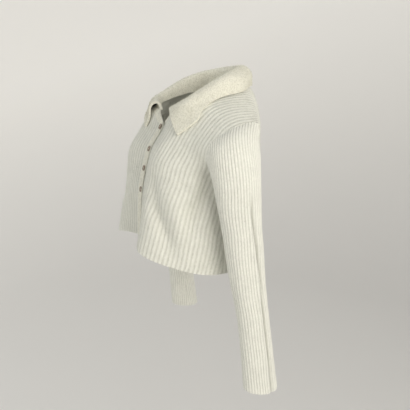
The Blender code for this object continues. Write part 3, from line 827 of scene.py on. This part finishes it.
# the right wing, mirrored here, stands in an open loop at its front
COLLAR_RIGHT = [
    ((0.84, 30), (36, -109.4, -36.6), (46, -120, -41.2), (0.78, 54, 8.5), (0.708, 59, 6.2)),
    ((0.851, 64), (80, -97.4, -26.3), (90, -102, -31.7), (0.826, 96, 8), (0.788, 101, 6.6)),
] + COLLAR_LEFT[2:]
COLLAR_STATIONS = 260
COLLAR_ACROSS = 56
LEVEL_STEP = 0.004      # levels either side of a place, to read which way the body faces


def on_body(level, run, lift, folds, side):
    """A place on one half of the folded body, lifted off it."""
    form = body_form([level - LEVEL_STEP, level, level + LEVEL_STEP])
    points, normals = read([part[1:2] for part in form], np.array([[run]]), side)
    return (points + normals * (lift - sinking(points, folds))[..., None])[0, 0]


# %% Wrap the collar
def collar_half(rows, side, folds):
    """The five places of each station of one half of the collar."""
    turn = (side, 1, 1)
    table = []
    for base, fold, roll, fall, edge in rows:
        on = [on_body(level, *metres(way), folds, side) for level, *way in ((*base, 0), fall, edge)]
        table.append([on[0], metres(fold) * turn, metres(roll) * turn, *on[1:]])
    return np.array(table)


left = collar_half(COLLAR_LEFT, 1, FOLDS["front_left"])
right = collar_half(COLLAR_RIGHT, -1, FOLDS["front_right"])
stations = np.concatenate([left[:-1], (left[-1:] + right[-1:]) / 2, right[-2::-1]])
index = np.arange(len(stations), dtype=float)
at = np.linspace(0, index[-1], COLLAR_STATIONS)
columns = spline(index, stations, at)
# the sewn edge keeps to the neckline between its stations
columns[:, 0] = sample(at, index, stations[:, 0])
grid = []
for points in columns:
    run = lengths(points)
    grid.append(spline(run, points, np.linspace(0, run[-1], COLLAR_ACROSS)))
grid = np.array(grid)
middle, down = lengths(grid[:, COLLAR_ACROSS // 2]), lengths(grid)
pattern = np.stack([np.broadcast_to(middle[:, None] / RIB, down.shape), down / COURSE], -1)
collar = lay("flat_collar", grid, pattern)
print("collar faces:", len(collar.data.polygons), "width", round(float(down[:, -1].mean()), 3), "m")

# %% [markdown]
# ## Buttons
#
# Small dished buttons with four holes, in mottled brown horn. The dish is spun from
# half a section, four small drills cut the holes, and two strands of thread cross
# over them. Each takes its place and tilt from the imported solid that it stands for.

# %% One button, made at the origin
BUTTON_RADIUS, BUTTON_HEIGHT = 0.0063, 0.0026
BUTTON_STEPS = 48
DISH_FLOOR = 0.53       # share of the height
HOLE_RADIUS, HOLE_PLACE = 0.00075, 0.00135
DRILL_LENGTH, DRILL_SIDES = 0.01, 16
THREAD, THREAD_SIDES = 0.0003, 10       # half the thickness of a strand
BUTTON_HALF = [
    # share of the radius, share of the height
    (0, 0), (0.55, 0), (0.82, 0.10), (0.96, 0.34), (1, 0.60), (0.985, 0.82), (0.92, 0.98),
    (0.84, 1), (0.76, 0.92), (0.68, 0.72), (0.58, 0.60), (0.40, 0.55), (0, DISH_FLOOR),
]


def rod(made, radius, length, sides):
    """The points of a round rod along z, added to what is being made."""
    cone = bmesh.ops.create_cone(made, cap_ends=True, segments=sides, radius1=radius,
                                 radius2=radius, depth=length)
    return cone["verts"]


def evaluated(item):
    """The mesh of an item after its modifiers."""
    graph = bpy.context.evaluated_depsgraph_get()
    return bpy.data.meshes.new_from_object(item.evaluated_get(graph))


def drilled(dish):
    drills = bmesh.new()
    for x in (-HOLE_PLACE, HOLE_PLACE):
        for y in (-HOLE_PLACE, HOLE_PLACE):
            drill = rod(drills, HOLE_RADIUS, DRILL_LENGTH, DRILL_SIDES)
            bmesh.ops.translate(drills, verts=drill, vec=(x, y, 0))
    item, cutter = add("dish", meshed("dish", dish)), add("drills", meshed("drills", drills))
    cut = item.modifiers.new("holes", "BOOLEAN")
    cut.object, cut.solver = cutter, "EXACT"
    mesh = evaluated(item)
    for old in (item, cutter):
        bpy.data.objects.remove(old, do_unlink=True)
    return mesh


def crossed_thread():
    """Two strands that cross over the dish, each from hole to hole."""
    cross = bmesh.new()
    for turn, lift in ((45, 0.75), (135, 2.25)):
        strand = rod(cross, THREAD, 2 * np.sqrt(2) * HOLE_PLACE, THREAD_SIDES)
        for angle, axis in ((90, "X"), (turn, "Z")):
            bmesh.ops.rotate(cross, verts=strand, cent=(0, 0, 0),
                             matrix=Matrix.Rotation(np.radians(angle), 3, axis))
        up = DISH_FLOOR * BUTTON_HEIGHT + THREAD * lift
        bmesh.ops.translate(cross, verts=strand, vec=(0, 0, up))
    return meshed("thread", cross)


profile = [(r * BUTTON_RADIUS, h * BUTTON_HEIGHT) for r, h in BUTTON_HALF]
button_mesh = drilled(spun(profile, BUTTON_STEPS, merge=1e-6))
thread_mesh = crossed_thread()
print("button faces:", len(button_mesh.polygons))

# %% Put the buttons on the band
BUTTON_ANGLE = np.radians(50)   # edges that turn more than this stay sharp


def plane_of(node):
    """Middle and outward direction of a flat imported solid."""
    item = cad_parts[node]
    at = np.array([v.co for v in item.data.vertices])
    middle = (at.min(0) + at.max(0)) / 2
    # it is thinnest along its axis, the last direction
    out = np.linalg.svd(at - at.mean(0), full_matrices=False)[2][2]
    return middle, out * -np.sign(out[1])


def stand_up(at, node):
    """Points made at the origin, facing up, moved to where a button sits."""
    middle, out = plane_of(node)
    across = np.array([1.0, 0.0, 0.0])
    up = unit(np.cross(out, across))
    across = np.cross(up, out)
    return middle + (at - (0, 0, BUTTON_HEIGHT / 2)) @ np.array([across, up, out])


def put(name, shape, node):
    """A copy of a shape made at the origin, moved to where a button sits."""
    mesh = shape.copy()
    at = np.array([v.co for v in mesh.vertices])
    mesh.vertices.foreach_set("co", stand_up(at, node).ravel())
    mesh.shade_smooth()
    mesh.set_sharp_from_angle(angle=BUTTON_ANGLE)
    return add(name, mesh)


buttons, threads = {}, {}
for number in range(1, 5):
    node = f"button_{number}"
    buttons[node] = put(f"horn_{node}", button_mesh, node)
    threads[node] = put(f"thread_{node}", thread_mesh, node)
print("buttons at", [tuple(np.round(plane_of(n)[0], 3)) for n in buttons])

# %% [markdown]
# ## Knit finish
#
# Close up, each rib is two columns of small V stitches with a plain column sunk
# between. Far away it is a soft, brushed ivory. The pattern follows the piece's own
# knit map, whose first number counts ribs and whose second counts rows, so it never
# slides on the cloth. Brushing adds tufts, a fine noise in the bump and a sheen.
# Shade is painted into the colour: rib valleys and the gaps between stitches are
# darker than the crests, and creases and the opened rib valleys over the shoulder
# take a darker painted shade still.

# %% The knit
LEG_SLOPE, LEG_ROUND = 1.1, 2.6         # of a V stitch
TUFT_SWAY = 0.28                        # ribs that tufts push a column aside
RIB_CONTRAST, FLAT_CONTRAST = 0.62, 0.3
# shares of the colour: rib height and stitches give painted shade of the relief, the nap a random
# tone
RIB_SHADE, STITCH_SHADE, NAP_SHADE, SHADE_BASE = 0.62, 0.12, 0.2, 0.07
HOLLOW_SHADE_SHARE, HOLLOW_SHADE_TONE = 0.75, 0.72      # strength and darkness of the painted shade in creases and rib valleys
CLOUD_TONE, CLOUD_BASE = 0.16, 0.92
STITCH_RELIEF, NAP_RELIEF, TUFT_RELIEF, CLOUD_RELIEF = 0.55, 0.9, 1.6, 0.4
BUMP = {"Strength": 0.6, "Distance": 0.0008}


def stitches(wale, course):
    """V stitches: each wale's two legs slope up to its edges."""
    across = (wale + 0.5).fraction() - 0.5
    leg = ((course + across.size() * LEG_SLOPE) * (2 * np.pi)).cosine() * 0.5 + 0.5
    return leg * (1.0 - across * across * LEG_ROUND)


def knit_finish(name, crest, shaded_valley, wales, ribbed, mottle):
    """Brushed knit with its stitch columns to a rib and how patchy its nap is."""
    finish = Finish(name, Roughness=0.93, Specular_IOR_Level=0.2, Sheen_Weight=0.25,
                    Sheen_Roughness=0.45, Sheen_Tint=(1.0, 0.98, 0.94, 1.0))
    pattern = finish.node("ShaderNodeUVMap", {"uv_map": "knit"})
    knit = finish.node("ShaderNodeSeparateXYZ", {}, [pattern])
    place = finish.places()
    nap = finish.noise(place, Scale=1300.0, Detail=3.0, Roughness=0.6)
    cloud = finish.noise(place, Scale=60.0, Detail=4.0, Roughness=0.55)
    tufts = finish.noise(place, Scale=330.0, Detail=2.0, Roughness=0.7)
    along, course = knit.out("X") + (tufts - 0.5) * TUFT_SWAY, knit.out("Y")
    stitch = stitches(along * wales - 0.5, course)
    if ribbed:
        height = ((along * (2 * np.pi)).cosine() * RIB_CONTRAST + 0.5).clamped()
    else:
        height = stitch * FLAT_CONTRAST + (1.0 - FLAT_CONTRAST)
    # painted shade of the ribs and stitches, with random mottle from the nap and tufts
    shade = height * RIB_SHADE + stitch * STITCH_SHADE + nap * NAP_SHADE + (tufts - 0.5) * mottle
    rib_shaded_yarn = finish.mix((shade + SHADE_BASE).clamped(), shaded_valley, crest)
    # painted shade darkens the creases and the rib valleys over the shoulder
    hollow_shade = finish.node("ShaderNodeAttribute", {"attribute_name": "crease"}).out("Fac")
    hollow_shade_colour = tuple(c * HOLLOW_SHADE_TONE for c in shaded_valley)
    colour = finish.mix((hollow_shade * HOLLOW_SHADE_SHARE).clamped(), rib_shaded_yarn, hollow_shade_colour)
    tone = cloud * CLOUD_TONE + CLOUD_BASE
    grey = finish.node("ShaderNodeCombineXYZ", {}, [tone, tone, tone])
    finish.feed("Base Color", finish.mix(1.0, colour, grey, "MULTIPLY"))
    relief = stitch * STITCH_RELIEF + nap * NAP_RELIEF + tufts * TUFT_RELIEF + cloud * CLOUD_RELIEF
    finish.feed("Normal", finish.node("ShaderNodeBump", {}, {**BUMP, "Height": relief}))
    return finish.material


# each knit gives its crest colour, then its valley colour darkened by painted shade
RIB_KNIT = knit_finish("rib_knit", (0.85, 0.85, 0.78), (0.63, 0.63, 0.565), 3.0, True, 1.2)
FLAT_KNIT = knit_finish("flat_knit", (0.88, 0.865, 0.76), (0.62, 0.605, 0.505), 4.0, False, 2.8)
print("knit nodes:", len(RIB_KNIT.node_tree.nodes))

# %% The buttons' horn and the cotton of their thread
HORN_STOPS = [(0.30, (0.15, 0.11, 0.08)), (0.55, (0.31, 0.24, 0.18)), (0.75, (0.50, 0.42, 0.33))]
COTTON_DARK, COTTON_LIGHT = (0.62, 0.57, 0.46), (0.80, 0.76, 0.64)
horn = Finish("horn", Roughness=0.28, Coat_Weight=0.4, Coat_Roughness=0.15, IOR=1.5)
cloud = horn.noise(horn.places(), Scale=260.0, Detail=4.0, Distortion=0.8)
horn.feed("Base Color", horn.node("ShaderNodeValToRGB", {"stops": HORN_STOPS}, [cloud]))
cotton = Finish("cotton", Roughness=0.8, Specular_IOR_Level=0.2, Sheen_Weight=0.2)
twist = cotton.node("ShaderNodeTexWave", {}, {"Vector": cotton.places(), "Scale": 900.0})
cotton.feed("Base Color", cotton.mix(twist, COTTON_DARK, COTTON_LIGHT))
for item in buttons.values():
    item.data.materials.clear()
    item.data.materials.append(horn.material)
for item in threads.values():
    item.data.materials.append(cotton.material)
print("horn and cotton ready")

# %% Thickness and finish for every sheet
RIM_ANGLE = np.radians(60)      # the edges of a rim turn more than this
COLLAR_ROUND, ROUND_STEPS = 0.0019, 3
for cut, finish in ((panels, RIB_KNIT), (bands, FLAT_KNIT)):
    for item in cut.values():
        thicken(item, WALL)
        item.data.materials.append(finish)
thicken(collar, COLLAR_WALL)
rounded = collar.modifiers.new("soft rim", "BEVEL")
rounded.width, rounded.segments = COLLAR_ROUND, ROUND_STEPS
rounded.limit_method, rounded.angle_limit = "ANGLE", RIM_ANGLE
collar.data.materials.append(FLAT_KNIT)
print("sheets:", len(panels) + len(bands) + 1)

# %% [markdown]
# ## Nap
#
# The yarn is brushed, so a halo of fine hairs stands on the cloth and shows at its
# outline. Each hair is a narrow blade of two steps that bends. One blade is made
# from a small grid and repeated over the cloth at random places, as one joined mesh
# for each sheet but the bands.

# %% One hair
HAIR_LENGTH = (0.0025, 0.0060)
HAIR_WIDTH = 0.00026
HAIR_LEAN, HAIR_DROOP, HAIR_BEND = 0.75, 0.15, 0.22    # how far it strays, hangs and bends
COLLAR_HAIR = 0.7       # share of the length of hairs on the collar
ROOT_DEPTH = 0.0002


def blade():
    """Share of the width and length of each point of one hair, and its faces."""
    made = bmesh.new()
    bmesh.ops.create_grid(made, x_segments=1, y_segments=2, size=0.5)
    tip = [v for v in made.verts if v.co.y > 0.4]
    bmesh.ops.pointmerge(made, verts=tip, merge_co=(0, 0.5, 0))
    made.verts.index_update()
    points = np.array([v.co for v in made.verts])
    faces = [[v.index for v in face.verts] for face in made.faces]
    made.free()
    return points[:, 0], points[:, 1] + 0.5, faces


BLADE_ACROSS, BLADE_ALONG, BLADE_FACES = blade()


# %% Scatter hairs
def hairs(name, roots, out, seed, size):
    """A joined mesh of bent hairs standing at the roots."""
    draw = np.random.default_rng(seed)
    count = len(roots)
    lean = unit(draw.normal(size=(count, 3)))
    way = unit(out + HAIR_LEAN * lean + (0, 0, -HAIR_DROOP))
    side = unit(np.cross(way, unit(draw.normal(size=(count, 3)))))
    bend = unit(draw.normal(size=(count, 3))) * HAIR_BEND
    tall = draw.uniform(*HAIR_LENGTH, size=count) * size
    across, along = BLADE_ACROSS[None, :, None], BLADE_ALONG[None, :, None]
    curve = along * way[:, None] + along * (1 - along) * 2 * bend[:, None]
    points = roots[:, None] + tall[:, None, None] * curve + HAIR_WIDTH * across * side[:, None]
    step = len(BLADE_ALONG)
    faces = [tuple(i * step + v for v in face) for i in range(count) for face in BLADE_FACES]
    mesh = bpy.data.meshes.new(name)
    mesh.from_pydata(points.reshape(-1, 3).tolist(), [], faces)
    return add(name, mesh)


def roots_on(item, count, seed, lift):
    """Random places on a sheet, as many to each bit of its area."""
    mesh = item.data
    centre, normal, area = (np.empty(len(mesh.polygons) * n) for n in (3, 3, 1))
    mesh.polygons.foreach_get("center", centre)
    mesh.polygons.foreach_get("normal", normal)
    mesh.polygons.foreach_get("area", area)
    draw = np.random.default_rng(seed)
    picked = draw.choice(len(area), size=count, p=area / area.sum())
    out = normal.reshape(-1, 3)[picked]
    slip = np.cross(out, unit(draw.normal(size=(count, 3)))) * np.sqrt(area[picked])[:, None] * 0.5
    return centre.reshape(-1, 3)[picked] + slip + out * lift, out


def kind(name):
    """What a piece is, without its side."""
    return name.split("_")[0]


NAP = {"front": 13000, "back": 20000, "sleeve": 15000, "collar": 16000}    # hairs of a sheet
FIRST_SEED, HAIR_SEEDS = 11, 100
nap = {}
for seed, name in enumerate((*panels, "collar"), FIRST_SEED):
    if name == "collar":
        sheet, wall, size, finish = collar, COLLAR_WALL, COLLAR_HAIR, FLAT_KNIT
    else:
        sheet, wall, size, finish = panels[name], WALL, 1.0, RIB_KNIT
    roots, out = roots_on(sheet, NAP[kind(name)], seed, wall / 2 - ROOT_DEPTH)
    nap[name] = hairs(f"nap_{name}", roots, out, seed + HAIR_SEEDS, size)
    nap[name].data.materials.append(finish)
print("hairs:", sum(NAP[kind(name)] for name in nap))

# %% [markdown]
# ## Seams that don't show
#
# Two sewn panels meet edge to edge. If the shading ran smoothly round each rim, the
# seam would show as a dark line, so the thickened meshes are kept and their rims
# are made sharp.

# %% Sharp rims
def settle(item):
    """Keep the thickened mesh and make its rims sharp."""
    mesh = evaluated(item)
    item.modifiers.clear()
    item.data = mesh
    mesh.set_sharp_from_angle(angle=RIM_ANGLE)


for item in (*panels.values(), *bands.values()):
    settle(item)
print("kept faces:", {name: len(item.data.polygons) for name, item in panels.items()})

# %% [markdown]
# ## Attach the pieces
#
# Every sheet, hair, button and thread is hung on the root, and the imported
# solids that the sheets and buttons stand for are hidden.

sheets = {**panels, **bands, "collar": collar}
for name, item in sheets.items():
    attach(item, "root")
    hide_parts(name)
    "rib_knit" if name in panels else "flat_knit"
    [nap[name]] if name in nap else []
for name, item in nap.items():
    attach(item, "root")
    "flat_knit" if name == "collar" else "rib_knit"
for name, item in buttons.items():
    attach(item, "root")
    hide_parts(name)
for item in threads.values():
    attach(item, "root")
print("declared:", len(sheets) + len(nap) + len(buttons) + len(threads))
